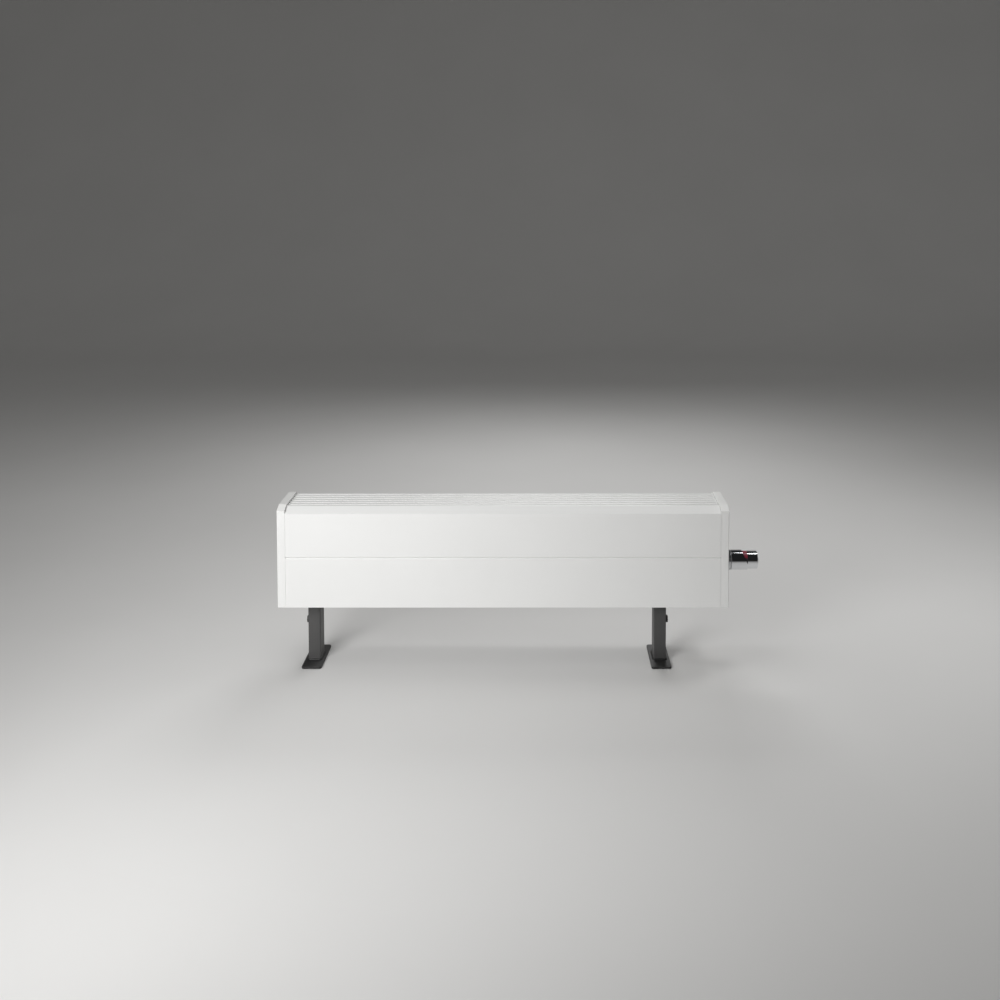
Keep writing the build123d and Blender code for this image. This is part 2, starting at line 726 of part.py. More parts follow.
def coil_spring(x_start, length, mean_radius, wire, turns):
    """A compression spring around the head's axis, from x_start towards the head."""
    pitch = (length - wire) / turns
    with BuildPart() as spring:
        with BuildLine() as path:
            Helix(pitch, pitch * turns, mean_radius, center=(x_start + wire / 2, 0, z_valve),
                  direction=(1, 0, 0))
        with BuildSketch(Plane(origin=path.line @ 0, z_dir=path.line % 0)) as section:
            Circle(wire / 2)
        sweep(section.sketch, path=path.line, is_frenet=True)
    return spring


spring_start = x_valve + pocket_floor + valve_travel + closed_gap
spring_length = x_neck_end - collar_width - spring_start
spindle_spring = coil_spring(spring_start, spring_length, (pocket_diameter - 2 * spring_wire) / 2 - fit_gap,
                             spring_wire, spring_turns)
save(spindle_spring, "spindle_spring")

with BuildPart() as transfer_pin:
    disc(yz(x_neck_end, 0, z_valve), pin_diameter, x_right + capsule_start - x_neck_end)
save(transfer_pin, "transfer_pin")

# Thermostatic head: knurled union nut, fixed base and sleeve, turning scale ring and handle
with BuildPart() as head_union_nut:
    nut_face = x_right + nut_gap
    barrel_start = nut_face - nut_barrel_depth
    disc(yz(nut_face, 0, z_valve), nut_diameter, nut_length)
    chamfer(head_union_nut.edges().filter_by(GeomType.CIRCLE), knurl_radius)
    with BuildSketch(yz(nut_face, 0, z_valve)) as flutes:
        with PolarLocations(nut_diameter / 2, knurl_count):
            Circle(knurl_radius)
    extrude(flutes.sketch, amount=nut_length, mode=Mode.SUBTRACT)
    disc(yz(barrel_start, 0, z_valve), nut_barrel_diameter, nut_barrel_depth)
    disc(yz(barrel_start, 0, z_valve), neck_thread_diameter + 2 * fit_gap,
         x_neck_end - barrel_start, Mode.SUBTRACT)
    disc(yz(barrel_start, 0, z_valve), base_bore, nut_barrel_depth + nut_length, Mode.SUBTRACT)
save(head_union_nut, "head_union_nut")

sleeve_start = nut_gap + nut_length + head_gap
with BuildPart() as head_sleeve:
    disc(yz(x_right + sleeve_start, 0, z_valve), sleeve_diameter, sleeve_end - sleeve_start)
    chamfer(head_sleeve.edges().filter_by(GeomType.CIRCLE).group_by(Axis.X)[0], knurl_radius)
    disc(yz(x_right + sleeve_start, 0, z_valve), sleeve_diameter - 2 * sleeve_wall,
         sleeve_end - sleeve_start, Mode.SUBTRACT)
    cut_top = z_valve + sleeve_diameter / 2
    with BuildSketch(Plane.XZ.offset(-sleeve_diameter / 2)) as wedge:
        Polygon((x_right + sleeve_cut_top, cut_top), (x_right + sleeve_end, cut_top - sleeve_cut_drop),
                (x_right + sleeve_end, cut_top), align=None)
    extrude(wedge.sketch, amount=sleeve_diameter, mode=Mode.SUBTRACT)
save(head_sleeve, "head_sleeve")

base_outer = sleeve_diameter - 2 * sleeve_wall - 2 * fit_gap
with BuildPart() as head_base:
    base_x = x_right + sleeve_start
    disc(yz(base_x, 0, z_valve), base_outer, scale_ring_start - head_gap - sleeve_start)
    disc(yz(base_x, 0, z_valve), journal_diameter, sleeve_end - sleeve_start)
    disc(yz(base_x, 0, z_valve), base_bore, sleeve_end - sleeve_start, Mode.SUBTRACT)
save(head_base, "head_base")

with BuildPart() as scale_ring:
    disc(yz(x_right + scale_ring_start, 0, z_valve), scale_ring_diameter, sleeve_end - scale_ring_start)
    disc(yz(x_right + scale_ring_start, 0, z_valve), journal_diameter + 2 * journal_gap,
         sleeve_end - scale_ring_start, Mode.SUBTRACT)
save(scale_ring, "scale_ring")

# Handle: a round shell with a domed end and a boss that pushes the capsule
handle_radius = handle_diameter / 2
dome_start = x_right + sleeve_end + handle_side
capsule_end = x_right + capsule_start + capsule_length
with BuildPart() as handle_shell:
    with BuildSketch(Plane.XZ) as profile:
        with BuildLine():
            Polyline((dome_start, z_valve + handle_radius), (x_right + sleeve_end, z_valve + handle_radius),
                     (x_right + sleeve_end, z_valve), (dome_start + handle_dome, z_valve))
            RadiusArc((dome_start + handle_dome, z_valve), (dome_start, z_valve + handle_radius),
                      -(handle_radius ** 2 + handle_dome ** 2) / (2 * handle_dome))
        make_face()
    revolve(profile.sketch, axis=Axis((0, 0, z_valve), (1, 0, 0)))
    rims = handle_shell.edges().filter_by(GeomType.CIRCLE)
    fillet(rims.filter_by_position(Axis.X, dome_start - fit_gap, dome_start + fit_gap), handle_edge)
    disc(yz(x_right + sleeve_end, 0, z_valve), handle_diameter - 2 * handle_wall,
         dome_start - handle_wall - x_right - sleeve_end, Mode.SUBTRACT)
    boss_start = capsule_end + capsule_boss_length + closed_gap
    disc(yz(boss_start, 0, z_valve), push_boss_diameter, dome_start - boss_start)
save(handle_shell, "handle_shell")

with BuildPart() as sensor_capsule:
    disc(yz(x_right + capsule_start, 0, z_valve), capsule_diameter, capsule_length - capsule_boss_length)
    disc(yz(x_right + capsule_start, 0, z_valve), capsule_boss_diameter, capsule_length)
save(sensor_capsule, "sensor_capsule")

overtravel_start = capsule_end - capsule_boss_length
overtravel_length = dome_start - handle_wall - overtravel_start - closed_gap
overtravel_radius = (overtravel_diameter - overtravel_wire) / 2
overtravel_spring = coil_spring(overtravel_start, overtravel_length, overtravel_radius, overtravel_wire,
                                overtravel_turns)
save(overtravel_spring, "overtravel_spring")
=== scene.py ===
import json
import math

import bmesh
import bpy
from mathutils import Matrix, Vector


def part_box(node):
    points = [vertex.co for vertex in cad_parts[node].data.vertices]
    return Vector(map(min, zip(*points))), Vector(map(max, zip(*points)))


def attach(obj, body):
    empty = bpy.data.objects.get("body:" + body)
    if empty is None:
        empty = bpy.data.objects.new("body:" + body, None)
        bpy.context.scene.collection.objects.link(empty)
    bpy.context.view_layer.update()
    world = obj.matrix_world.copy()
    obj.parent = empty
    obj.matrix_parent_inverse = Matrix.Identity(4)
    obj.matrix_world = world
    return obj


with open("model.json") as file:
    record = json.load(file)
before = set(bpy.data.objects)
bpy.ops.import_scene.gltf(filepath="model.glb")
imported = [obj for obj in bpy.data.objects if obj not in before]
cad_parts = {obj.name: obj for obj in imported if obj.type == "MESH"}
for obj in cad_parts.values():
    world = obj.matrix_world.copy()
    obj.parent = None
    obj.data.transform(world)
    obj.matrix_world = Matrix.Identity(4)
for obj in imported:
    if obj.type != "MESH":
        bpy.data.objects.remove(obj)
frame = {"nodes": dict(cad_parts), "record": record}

# %% [markdown]
# # A freestanding convector radiator
# The real object is a long, low steel casing on two legs. Water pipes come up from the floor into
# its open bottom, a finned exchanger inside warms the air, and the air leaves through a grille of
# slats on top. Every measured piece comes from the CAD model that was just loaded. This lesson gives
# those pieces their finishes, adds the small details that are easier to make here, and sets up the
# floor, the light and the camera. Everything is in metres, with Z up and the floor at zero.

nodes = frame["nodes"]
slot_of = {part["node"]: part["material_slot"] for part in frame["record"]["subparts"]}
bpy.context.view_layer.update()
print("nodes", len(nodes), "slots", sorted(set(slot_of.values())))

# %% [markdown]
# ## The camera
# The camera stands well above the casing, and yet the casing's upright edges look almost parallel.
# A camera that is simply turned down makes them lean towards each other, while a vertical lens shift
# moves the picture down and keeps them upright. A large shift would push the object out of the
# picture in other views, so this camera uses both: a moderate shift, and a turn of a few degrees.

# %% Set the camera
turned_down = math.radians(3.266)
camera_data = bpy.data.cameras.new("camera")
camera = bpy.data.objects.new("camera", camera_data)
bpy.context.scene.collection.objects.link(camera)
bpy.context.scene.camera = camera
camera.location = (0.1041, -2.2164, 0.9678)
camera.rotation_euler = (math.radians(90) - turned_down, 0, 0)
camera_data.sensor_width = 36.0
camera_data.lens = 39.59
camera_data.shift_x = -0.0382
camera_data.shift_y = -0.250
print("camera at", [round(v, 3) for v in camera.location])

# %% [markdown]
# ## Effects that several finishes share
# Most surfaces on this object differ in small ways only: a coat of lacquer has a fine orange-peel
# texture, a sheet has slightly lighter and darker zones, and edges are lighter, partly rubbed with
# time and partly a painted highlight where a rounded edge catches the light.
# Each effect is a node group with named inputs, built once and placed in each material with its own
# values. It could be repeated in each material, but a shared group keeps one recipe in one place.
# The groups use the same few kinds of node again and again, so small helpers add those.


# %% Helpers that add nodes
def new_group(name, inputs, outputs):
    """An empty shader node group with the given sockets, and its input and output nodes."""
    group = bpy.data.node_groups.new(name, "ShaderNodeTree")
    for kind, sockets in (("INPUT", inputs), ("OUTPUT", outputs)):
        for socket_name, socket_kind, value in sockets:
            socket = group.interface.new_socket(name=socket_name, in_out=kind, socket_type=socket_kind)
            if kind == "INPUT" and value is not None:
                socket.default_value = value
    return group, group.nodes.new("NodeGroupInput"), group.nodes.new("NodeGroupOutput")


def add_node(tree, kind, links=(), **values):
    """A node with its inputs and properties set, and its linked inputs joined."""
    node = tree.nodes.new(kind)
    for name, value in values.items():
        setattr(node, name, value)
    for socket, source in links:
        if hasattr(source, "is_output"):
            tree.links.new(source, node.inputs[socket])
        else:
            node.inputs[socket].default_value = source
    return node


def rgb(red, green, blue):
    """A colour with full alpha."""
    return (red, green, blue, 1.0)


def own_place(tree):
    """Where a point lies on the piece, which stays the same when the piece moves."""
    return add_node(tree, "ShaderNodeTexCoord").outputs["Object"]


def noise(tree, place, scale, detail, roughness=0.5):
    """A random pattern between 0 and 1, with about scale spots to the metre."""
    return add_node(tree, "ShaderNodeTexNoise", [("Vector", place), ("Scale", scale), ("Detail", detail),
                    ("Roughness", roughness)]).outputs["Fac"]


def remap(tree, value, low, high, start=0.0, end=1.0):
    """The value's range from low to high, laid onto start to end and held there."""
    return add_node(tree, "ShaderNodeMapRange", [("Value", value), ("From Min", low), ("From Max", high),
                    ("To Min", start), ("To Max", end)]).outputs[0]


def mix_colour(tree, share, first, second):
    """The first colour where share is 0, the second where it is 1."""
    return add_node(tree, "ShaderNodeMix", [(0, share), (6, first), (7, second)],
                    data_type="RGBA").outputs[2]


def multiply(tree, first, second):
    """The product of two numbers."""
    return add_node(tree, "ShaderNodeMath", [(0, first), (1, second)], operation="MULTIPLY").outputs[0]


# %% [markdown]
# ## Mottle
# No real sheet or moulding has exactly one colour. A coarse noise gives soft zones that are a little
# lighter and duller, and others that are darker and glossier. One noise drives both, because on a
# real surface a change in the coat shows in its colour and its gloss at the same place.


# %% Group: mottle, a soft variation in colour and gloss
def build_mottle():
    group, entry, leave = new_group(
        "mottle",
        [("Light", "NodeSocketColor", rgb(0.8, 0.8, 0.8)), ("Dark", "NodeSocketColor", rgb(0.7, 0.7, 0.7)),
         ("Scale", "NodeSocketFloat", 6.0), ("Rough Low", "NodeSocketFloat", 0.3),
         ("Rough High", "NodeSocketFloat", 0.4)],
        [("Color", "NodeSocketColor", None), ("Roughness", "NodeSocketFloat", None)])
    cloud = noise(group, own_place(group), entry.outputs["Scale"], 4.0, 0.55)
    tint = mix_colour(group, remap(group, cloud, 0.3, 0.7), entry.outputs["Dark"], entry.outputs["Light"])
    gloss = remap(group, cloud, 0.3, 0.7, entry.outputs["Rough Low"], entry.outputs["Rough High"])
    group.links.new(tint, leave.inputs["Color"])
    group.links.new(gloss, leave.inputs["Roughness"])
    return group


mottle = build_mottle()
print("group", mottle.name, "nodes", len(mottle.nodes))

# %% [markdown]
# ## Peel
# Sprayed lacquer and moulded plastic look flat, but their reflections tremble a little. That comes
# from a fine grain on top of longer waves. Two noises at different scales are mixed into one height,
# which each material turns into relief with its own depth.


# %% Group: peel, the fine relief of sprayed lacquer or moulded plastic
def build_peel():
    group, entry, leave = new_group(
        "peel",
        [("Grain Scale", "NodeSocketFloat", 900.0), ("Wave Scale", "NodeSocketFloat", 120.0),
         ("Wave Share", "NodeSocketFloat", 0.4)],
        [("Height", "NodeSocketFloat", None)])
    place = own_place(group)
    grain = noise(group, place, entry.outputs["Grain Scale"], 2.0)
    wave = noise(group, place, entry.outputs["Wave Scale"], 1.0)
    both = add_node(group, "ShaderNodeMix", [(0, entry.outputs["Wave Share"]), (2, grain), (3, wave)],
                    data_type="FLOAT")
    group.links.new(both.outputs[0], leave.inputs["Height"])
    return group


peel = build_peel()
print("group", peel.name, "nodes", len(peel.nodes))

# %% [markdown]
# ## Edge wear and painted edge highlight
# A coat is thinner on an edge, and hands and cloths rub it there first. The lighter edge is also a
# painted highlight, the light that a rounded edge catches. The Bevel node gives the normal that a
# rounded edge would have. Where that differs from the true normal, the surface turns sharply. A
# noise then breaks the line up, because an even outline would look drawn.


# %% Group: edge wear and painted edge highlight, a mask that is 1 where a surface turns sharply
def build_edge_wear_and_highlight():
    group, entry, leave = new_group(
        "edge_wear_and_highlight",
        [("Radius", "NodeSocketFloat", 0.0006), ("Patch Scale", "NodeSocketFloat", 60.0)],
        [("Mask", "NodeSocketFloat", None)])
    shape = add_node(group, "ShaderNodeNewGeometry")
    rounded = add_node(group, "ShaderNodeBevel", [("Radius", entry.outputs["Radius"])], samples=4)
    alike = add_node(group, "ShaderNodeVectorMath", [(0, shape.outputs["Normal"]),
                     (1, rounded.outputs["Normal"])], operation="DOT_PRODUCT")
    turn = remap(group, alike.outputs["Value"], 0.98, 0.85)
    patch = noise(group, own_place(group), entry.outputs["Patch Scale"], 3.0)
    mask = multiply(group, turn, remap(group, patch, 0.35, 0.6, 0.35, 1.0))
    group.links.new(mask, leave.inputs["Mask"])
    return group


edge_wear_and_highlight = build_edge_wear_and_highlight()
print("group", edge_wear_and_highlight.name, "nodes", len(edge_wear_and_highlight.nodes))

# %% [markdown]
# ## Dust
# Dust lies on what faces up, so the mask follows the upward part of the normal. It gathers unevenly,
# so a noise thins it out in places. Only the black steel near the floor carries any here.


# %% Group: dust, a pale film that settles on faces that look up
def build_dust():
    group, entry, leave = new_group(
        "dust",
        [("Amount", "NodeSocketFloat", 0.3), ("Patch Scale", "NodeSocketFloat", 25.0)],
        [("Mask", "NodeSocketFloat", None)])
    shape = add_node(group, "ShaderNodeNewGeometry")
    upright = add_node(group, "ShaderNodeSeparateXYZ", [(0, shape.outputs["Normal"])])
    faces_up = remap(group, upright.outputs["Z"], 0.3, 1.0, 0.0, entry.outputs["Amount"])
    patch = noise(group, own_place(group), entry.outputs["Patch Scale"], 5.0, 0.7)
    mask = multiply(group, faces_up, remap(group, patch, 0.4, 0.65, 0.15, 1.0))
    group.links.new(mask, leave.inputs["Mask"])
    return group


dust = build_dust()
print("group", dust.name, "nodes", len(dust.nodes))

# %% [markdown]
# ## Brushing
# Rolled fins, drawn tubes and turned pins carry fine lines along one axis. A noise whose place is
# stretched by different amounts on each axis turns its spots into such lines.


# %% Group: brushing, fine scratches along one axis of drawn or rolled metal
def build_brushing():
    group, entry, leave = new_group(
        "brushing",
        [("Stretch", "NodeSocketVector", (20.0, 600.0, 600.0)), ("Low", "NodeSocketFloat", 0.25),
         ("High", "NodeSocketFloat", 0.45)],
        [("Roughness", "NodeSocketFloat", None), ("Height", "NodeSocketFloat", None)])
    pulled = add_node(group, "ShaderNodeVectorMath", [(0, own_place(group)),
                      (1, entry.outputs["Stretch"])], operation="MULTIPLY")
    lines = noise(group, pulled.outputs["Vector"], 1.0, 3.0)
    rough = remap(group, lines, 0.3, 0.7, entry.outputs["Low"], entry.outputs["High"])
    group.links.new(rough, leave.inputs["Roughness"])
    group.links.new(lines, leave.inputs["Height"])
    return group


brushing = build_brushing()
print("group", brushing.name, "nodes", len(brushing.nodes))

# %% [markdown]
# ## A helper for finishes
# Each finish is one material: a Principled shader whose colour, roughness and relief come from the
# groups. The metallic share is the same all over the surface, so it is set on the shader itself.
# Writing each tree by hand would repeat the same links a dozen times.


# %% Build one finish from the shared groups
def place_group(tree, group, **values):
    """One of the shared groups in a material, with its values set."""
    node = tree.nodes.new("ShaderNodeGroup")
    node.node_tree = group
    for name, value in values.items():
        node.inputs[name.replace("_", " ")].default_value = value
    return node


dust_colour = rgb(0.42, 0.41, 0.39)


def finish(name, light, dark, rough, metallic=0.0, scale=6.0, grain=900.0, wave=120.0, relief=0.00002,
           wear_and_highlight_colour=None, wear_and_highlight_radius=0.0006, dust_amount=0.0, stretch=None):
    """A material with mottled colour and gloss, a fine relief, lighter edges that are partly wear and
    partly a painted highlight, and dust.
    """
    material = bpy.data.materials.new(name)
    material.use_nodes = True
    tree = material.node_tree
    shader = tree.nodes["Principled BSDF"]
    shader.inputs["Metallic"].default_value = metallic
    cloud = place_group(tree, mottle, Light=rgb(*light), Dark=rgb(*dark), Scale=scale,
                        Rough_Low=rough[0], Rough_High=rough[1])
    colour, roughness = cloud.outputs["Color"], cloud.outputs["Roughness"]
    # Edges get a lighter colour: partly rubbed wear, partly a painted highlight where a rounded edge
    # catches the light.
    if wear_and_highlight_colour is not None:
        edge_band = place_group(tree, edge_wear_and_highlight, Radius=wear_and_highlight_radius)
        colour = mix_colour(tree, edge_band.outputs["Mask"], colour, rgb(*wear_and_highlight_colour))
    if dust_amount > 0:
        film = place_group(tree, dust, Amount=dust_amount)
        colour = mix_colour(tree, film.outputs["Mask"], colour, dust_colour)
    if stretch is None:
        texture = place_group(tree, peel, Grain_Scale=grain, Wave_Scale=wave)
    else:
        texture = place_group(tree, brushing, Stretch=stretch, Low=rough[0], High=rough[1])
        roughness = texture.outputs["Roughness"]
    bump = add_node(tree, "ShaderNodeBump", [("Height", texture.outputs["Height"]), ("Strength", 1.0),
                    ("Distance", relief)])
    tree.links.new(colour, shader.inputs["Base Color"])
    tree.links.new(roughness, shader.inputs["Roughness"])
    tree.links.new(bump.outputs["Normal"], shader.inputs["Normal"])
    return material


# %% [markdown]
# ## The finishes
# The casing is steel sheet with a white powder coat, satin and very even. The end caps are moulded
# plastic in the same white, a little smoother. The legs have a graphite lacquer on steel, with
# paler edges that are partly where the coat is thin and partly a painted highlight, and the floor
# plates are nearly black. The head's sleeve and handle are plated and act as mirrors, so their look
# comes mostly from what stands around them. Each colour is the surface's own, so it looks right
# under other light too, apart from the lighter edges, which also carry a painted highlight.

# %% Make the finishes, one for each material slot of the record
# The lighter edge colours below are partly wear and partly a painted highlight.
finishes = {
    "white_lacquer": finish("white_lacquer", (0.80, 0.80, 0.79), (0.775, 0.775, 0.765), (0.34, 0.42),
                            scale=3.0, grain=1400.0, wave=260.0, relief=0.000005,
                            wear_and_highlight_colour=(0.83, 0.83, 0.82), wear_and_highlight_radius=0.0003),
    "white_plastic": finish("white_plastic", (0.79, 0.79, 0.775), (0.77, 0.77, 0.755), (0.30, 0.38),
                            scale=20.0, grain=2600.0, wave=500.0, relief=0.000008,
                            wear_and_highlight_colour=(0.84, 0.84, 0.83)),
    "galvanised": finish("galvanised", (0.60, 0.62, 0.63), (0.44, 0.46, 0.48), (0.38, 0.55), metallic=1.0,
                         scale=70.0, grain=700.0, wave=160.0, relief=0.00003,
                         wear_and_highlight_colour=(0.68, 0.69, 0.70)),
    "graphite_lacquer": finish("graphite_lacquer", (0.072, 0.071, 0.070), (0.058, 0.057, 0.057),
                               (0.42, 0.52), scale=14.0, grain=1300.0, wave=300.0, relief=0.00002,
                               wear_and_highlight_colour=(0.115, 0.113, 0.11)),
    "black_steel": finish("black_steel", (0.022, 0.0215, 0.0215), (0.016, 0.016, 0.016), (0.42, 0.55),
                          scale=22.0, grain=1100.0, wave=260.0, relief=0.00003,
                          wear_and_highlight_colour=(0.065, 0.064, 0.062), dust_amount=0.05),
    "fin_aluminium": finish("fin_aluminium", (0.80, 0.81, 0.82), (0.70, 0.71, 0.72), (0.28, 0.42),
                            metallic=1.0, scale=40.0, stretch=(300.0, 40.0, 900.0), relief=0.00001),
    "copper": finish("copper", (0.76, 0.41, 0.27), (0.56, 0.27, 0.17), (0.22, 0.36), metallic=1.0,
                     scale=24.0, stretch=(25.0, 500.0, 500.0), relief=0.00001),
    "brass": finish("brass", (0.76, 0.62, 0.34), (0.62, 0.49, 0.26), (0.24, 0.38), metallic=1.0,
                    scale=60.0, grain=1500.0, wave=300.0, relief=0.00002,
                    wear_and_highlight_colour=(0.84, 0.72, 0.45), wear_and_highlight_radius=0.0004),
    "grey_plastic": finish("grey_plastic", (0.17, 0.17, 0.175), (0.145, 0.145, 0.15), (0.38, 0.48),
                           scale=60.0, grain=2600.0, wave=500.0, relief=0.00001,
                           wear_and_highlight_colour=(0.23, 0.23, 0.235), wear_and_highlight_radius=0.0003),
    "chrome": finish("chrome", (0.80, 0.81, 0.83), (0.77, 0.78, 0.80), (0.05, 0.09), metallic=1.0,
                     scale=35.0, grain=300.0, wave=60.0, relief=0.000004,
                     wear_and_highlight_colour=(0.86, 0.87, 0.88), wear_and_highlight_radius=0.0003),
    "red_plastic": finish("scale_ring_red", (0.30, 0.030, 0.055), (0.22, 0.020, 0.040), (0.26, 0.36),
                          scale=70.0, grain=2600.0, wave=500.0, relief=0.000008),
    "seal_rubber": finish("seal_rubber", (0.045, 0.045, 0.045), (0.030, 0.030, 0.030), (0.55, 0.70),
                          scale=90.0, grain=2000.0, wave=500.0, relief=0.00003),
    "stainless_steel": finish("stainless_steel", (0.68, 0.68, 0.69), (0.60, 0.60, 0.61), (0.20, 0.34),
                              metallic=1.0, scale=60.0, stretch=(120.0, 500.0, 500.0), relief=0.000008,
                              wear_and_highlight_colour=(0.78, 0.78, 0.79), wear_and_highlight_radius=0.0003),
}
print("finishes", len(finishes))

# %% [markdown]
# ## Dressing the CAD pieces
# The record names a material slot for each piece, so a loop over the nodes can dress them all. The
# floor plates share the tubes' slot but look darker on the real object, so they are dressed again
# with the black steel of the bolts.


# %% Put each finish on the CAD nodes of its slot
def dress(piece, material):
    """Fills a piece's material slots with one finish."""
    if not piece.data.materials:
        piece.data.materials.append(material)
    for index in range(len(piece.data.materials)):
        piece.data.materials[index] = material


for node_name, node in nodes.items():
    dress(node, finishes[slot_of[node_name]])
for side in ("left", "right"):
    dress(nodes[side + "_base_plate"], finishes["black_steel"])
print("dressed", len(nodes), "nodes")

# %% [markdown]
# ## The coloured sector on the scale ring
# The ring between the sleeve and the handle is dark, and its upper part carries a red sector that
# shows through the slanted gap. The sector could be a piece of its own, but it is flush with the
# ring, so a mask in the ring's material marks it. The mask reads the Object coordinates, so the red
# part turns with the handle.

# %% Darken the ring's finish below its red sector
sector_low, sector_high = 0.0082, 0.0088
ring_low, ring_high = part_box("scale_ring")
ring_axis_z = (ring_low.z + ring_high.z) / 2
ring_tree = finishes["red_plastic"].node_tree
ring_colour = ring_tree.nodes["Principled BSDF"].inputs["Base Color"]
red_part = ring_colour.links[0].from_socket
ring_place = add_node(ring_tree, "ShaderNodeSeparateXYZ", [(0, own_place(ring_tree))])
sector = remap(ring_tree, ring_place.outputs["Z"], ring_axis_z + sector_low, ring_axis_z + sector_high)
ring_tree.links.new(mix_colour(ring_tree, sector, rgb(0.030, 0.030, 0.032), red_part), ring_colour)
print("ring axis height", round(ring_axis_z, 4))

# %% [markdown]
# ## Making new pieces
# A few small things are easier to shape here than in the CAD model: the welds at the feet and the
# threads in the two sockets. Each is made from a bmesh, which is a mesh that can be edited with
# operators, and rides on the CAD body that carries it.


# %% A helper that turns a bmesh into a piece
def make_piece(name, shape, body, slot, smooth=True):
    """An object from a finished bmesh, with its slot's finish and its body."""
    mesh = bpy.data.meshes.new(name)
    shape.to_mesh(mesh)
    shape.free()
    piece = bpy.data.objects.new(name, mesh)
    bpy.context.scene.collection.objects.link(piece)
    for face in mesh.polygons:
        face.use_smooth = smooth
    dress(piece, finishes[slot])
    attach(piece, body)
    print(name, "faces", len(mesh.polygons))


# %% [markdown]
# ## Welds at the feet
# Each foot's tube is welded all round to its floor plate. The weld is a sloping band with small
# ripples, one for each drop of metal, and it is as dark as the plate. A plain chamfer would look
# moulded, so the band is divided along its length and every other point is pushed out a little.
# It starts as the tube's outline. An inset leaves a narrow ring, which is drawn up into a wall, and
# the wall's outer lower points are then pushed out over the plate.

# %% Put a weld band round each foot's tube
weld_leg = 0.0025
weld_ripple = 0.0004
weld_root = 0.0004
tube_corner = 0.0025


def weld_band(low, high, plate_top):
    """A closed band from the plate up to the tube's wall."""
    shape = bmesh.new()
    bmesh.ops.create_grid(shape, x_segments=1, y_segments=1, size=0.5)
    bmesh.ops.scale(shape, verts=shape.verts[:], vec=(high.x - low.x, high.y - low.y, 1))
    bmesh.ops.bevel(shape, geom=shape.verts[:], offset=tube_corner, offset_type="OFFSET",
                    affect="VERTICES", segments=4, profile=0.5, material=-1)
    sides = [e for e in shape.edges if e.calc_length() > 0.01]
    bmesh.ops.subdivide_edges(shape, edges=sides, cuts=15)
    shape.normal_update()
    inside = bmesh.ops.inset_region(shape, faces=shape.faces[:], thickness=weld_root, use_boundary=True,
                                    use_even_offset=True)
    ring = set(inside["faces"])
    bmesh.ops.delete(shape, geom=[f for f in shape.faces if f not in ring], context="FACES")
    wall = bmesh.ops.extrude_face_region(shape, geom=shape.faces[:])
    top = [v for v in wall["geom"] if isinstance(v, bmesh.types.BMVert)]
    bmesh.ops.translate(shape, verts=top, vec=(0, 0, weld_leg))
    push_foot_out(shape, (high.x - low.x) / 2 - tube_corner, (high.y - low.y) / 2 - tube_corner)
    bmesh.ops.recalc_face_normals(shape, faces=shape.faces[:])
    middle = Vector(((low.x + high.x) / 2, (low.y + high.y) / 2, plate_top))
    bmesh.ops.translate(shape, verts=shape.verts[:], vec=middle)
    return shape


def push_foot_out(shape, core_x, core_y):
    """Moves the band's outer lower points away from the tube's core, every other one further."""
    outward = {}
    for vert in shape.verts:
        core = Vector((max(-core_x, min(core_x, vert.co.x)), max(-core_y, min(core_y, vert.co.y)), 0))
        away = Vector((vert.co.x, vert.co.y, 0)) - core
        if vert.co.z < weld_leg / 2 and away.length > tube_corner - weld_root / 2:
            outward[vert] = away.normalized()
    for index, vert in enumerate(sorted(outward, key=lambda v: math.atan2(v.co.y, v.co.x))):
        vert.co += outward[vert] * (weld_leg + weld_ripple * (index % 2))


for side in ("left", "right"):
    tube_low, tube_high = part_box(side + "_foot_tube")
    plate_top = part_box(side + "_base_plate")[1].z
    make_piece(side + "_foot_weld", weld_band(tube_low, tube_high, plate_top), side + "_foot",
               "black_steel")

# %% [markdown]
# ## Threads in the sockets
# The pipes screw into the two sockets under the casing. A real thread is one helix, but at this size
# a stack of rings a pitch apart looks the same and closes neatly. Each ring is a small triangle
# spun a full turn round the socket's axis.

# %% Put a thread into each socket
thread_pitch = 0.0018
thread_turns = 6
thread_radius = 0.0093
thread_depth = 0.0006
thread_half_width = 0.0007
first_turn = 0.0014
for name in ("supply_socket", "return_socket"):
    socket_low, socket_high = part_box(name)
    axis = Vector(((socket_low.x + socket_high.x) / 2, (socket_low.y + socket_high.y) / 2, 0))
    thread = bmesh.new()
    for turn in range(thread_turns):
        height = socket_low.z + first_turn + turn * thread_pitch
        crest = [(thread_radius, height - thread_half_width), (thread_radius - thread_depth, height),
                 (thread_radius, height + thread_half_width)]
        corners = [thread.verts.new(axis + Vector((r, 0, z))) for r, z in crest]
        edges = [thread.edges.new((corners[i], corners[(i + 1) % 3])) for i in range(3)]
        bmesh.ops.spin(thread, geom=corners + edges, cent=axis, axis=(0, 0, 1), angle=math.tau,
                       steps=48, use_merge=True)
    bmesh.ops.remove_doubles(thread, verts=thread.verts[:], dist=0.000001)
    bmesh.ops.recalc_face_normals(thread, faces=thread.faces[:])
    make_piece(name.replace("socket", "thread"), thread, "casing", "brass", smooth=False)

# %% [markdown]
# ## The floor and the backdrop
# The object stands on a plain pale floor that runs on without a visible edge. A flat floor alone
# would end in a horizon line, so the floor curves up into a backdrop far behind the object, as in a
# photographer's studio. A row of vertices is extruded into a sheet, and a bevel rounds its corner.
# The sheet lies a hair below zero, so that it doesn't flicker against the undersides of the plates.

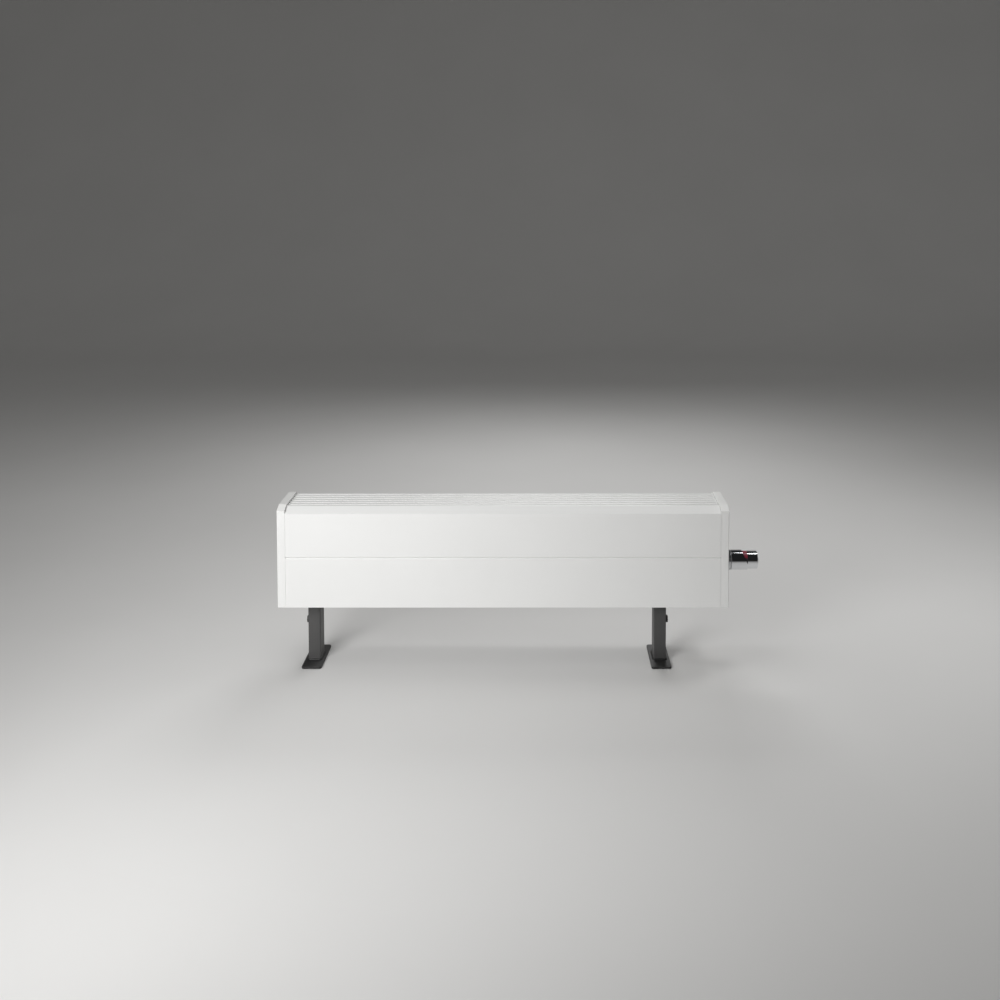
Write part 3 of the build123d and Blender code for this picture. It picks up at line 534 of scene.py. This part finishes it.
# %% Model the floor with its curved backdrop
floor_z = -0.0003
floor_side = 30
floor_front = -30
wall_y = 7
wall_top = 6
curve_radius = 3.0
floor_mesh = bmesh.new()
outline = ((floor_front, floor_z), (wall_y, floor_z), (wall_y, wall_top))
corners = [floor_mesh.verts.new((-floor_side, y, z)) for y, z in outline]
for first, second in zip(corners, corners[1:]):
    floor_mesh.edges.new((first, second))
swept = bmesh.ops.extrude_edge_only(floor_mesh, edges=floor_mesh.edges[:])
moved = [v for v in swept["geom"] if isinstance(v, bmesh.types.BMVert)]
bmesh.ops.translate(floor_mesh, verts=moved, vec=(2 * floor_side, 0, 0))
crease = [e for e in floor_mesh.edges
          if all(abs(v.co.y - wall_y) < 1e-6 and v.co.z < 1e-6 for v in e.verts)]
bmesh.ops.bevel(floor_mesh, geom=crease, offset=curve_radius, offset_type="OFFSET", affect="EDGES",
                segments=24, profile=0.5, material=-1)
bmesh.ops.recalc_face_normals(floor_mesh, faces=floor_mesh.faces[:])
for face in floor_mesh.faces:
    face.smooth = True
    if face.normal.z < -0.01 or face.normal.y > 0.01:
        face.normal_flip()
floor_data = bpy.data.meshes.new("floor")
floor_mesh.to_mesh(floor_data)
floor_mesh.free()
floor = bpy.data.objects.new("floor", floor_data)
bpy.context.scene.collection.objects.link(floor)
print("floor faces", len(floor_data.polygons))

# %% [markdown]
# ## The floor's finish
# Painted board is pale, dull and nearly even. The mottle group alone gives it the slight change in
# colour and gloss that it needs, and a relief would only draw the eye away from the object.

# %% Give the floor its pale finish
floor_finish = bpy.data.materials.new("pale_floor")
floor_finish.use_nodes = True
floor_tree = floor_finish.node_tree
floor_shader = floor_tree.nodes["Principled BSDF"]
floor_cloud = place_group(floor_tree, mottle, Light=rgb(0.70, 0.695, 0.685),
                          Dark=rgb(0.68, 0.675, 0.665), Scale=1.5, Rough_Low=0.6, Rough_High=0.7)
floor_tree.links.new(floor_cloud.outputs["Color"], floor_shader.inputs["Base Color"])
floor_tree.links.new(floor_cloud.outputs["Roughness"], floor_shader.inputs["Roughness"])
dress(floor, floor_finish)
print("floor finish", floor_finish.name)

# %% [markdown]
# ## The lamps
# The front is bright at the left and falls off towards the right, and the shadows on the floor are
# soft and lie to the right. So one large soft lamp stands at the front left, a weaker one fills from
# above, one stands behind, and one with a narrow beam lights the floor at the right. Small lamps
# would give hard shadows and small hot spots. A narrower spread works as a grid on a softbox does:
# it keeps the light on what the lamp faces.


# %% Place the soft lamps
def soft_lamp(name, place, target, size, power, spread=180):
    """A square area lamp at place that faces target, with its spread in degrees."""
    data = bpy.data.lights.new(name, "AREA")
    data.shape = "SQUARE"
    data.size = size
    data.energy = power
    data.spread = math.radians(spread)
    lamp = bpy.data.objects.new(name, data)
    bpy.context.scene.collection.objects.link(lamp)
    lamp.location = place
    lamp.rotation_euler = (Vector(target) - Vector(place)).to_track_quat("-Z", "Y").to_euler()
    print(name, data.energy, "W")


soft_lamp("key_lamp", (-0.80, -1.40, 0.85), (-0.15, 0.0, 0.2), 0.8, 8.6, spread=110)
soft_lamp("fill_lamp", (-0.5, -0.2, 2.4), (0.1, 0.0, 0.1), 1.2, 10.0)
soft_lamp("back_lamp", (0.2, 1.8, 1.6), (0.2, 0.0, 0.0), 0.9, 15.0)
soft_lamp("side_lamp", (1.10, 0.30, 1.9), (1.15, 0.20, 0.0), 0.45, 2.0, spread=80)

# %% [markdown]
# ## The room
# The world gives an even, dim light from everywhere. The plated head shows a dark room with one
# bright lamp in it, and a world that is the same for all rays would turn it grey. So the Light Path
# node makes the world nearly black for the rays that a mirror sends out.

# %% Set the world and the view
room_light = 0.17
room_in_mirrors = 0.015
world = bpy.data.worlds.new("studio")
bpy.context.scene.world = world
world.use_nodes = True
room = world.node_tree
ray = add_node(room, "ShaderNodeLightPath")
glow = remap(room, ray.outputs["Is Glossy Ray"], 0.0, 1.0, room_light, room_in_mirrors)
room.nodes["Background"].inputs["Color"].default_value = rgb(1.0, 0.995, 0.98)
room.links.new(glow, room.nodes["Background"].inputs["Strength"])
bpy.context.scene.view_settings.view_transform = "Standard"
print("room light", room_light, "in mirrors", room_in_mirrors)
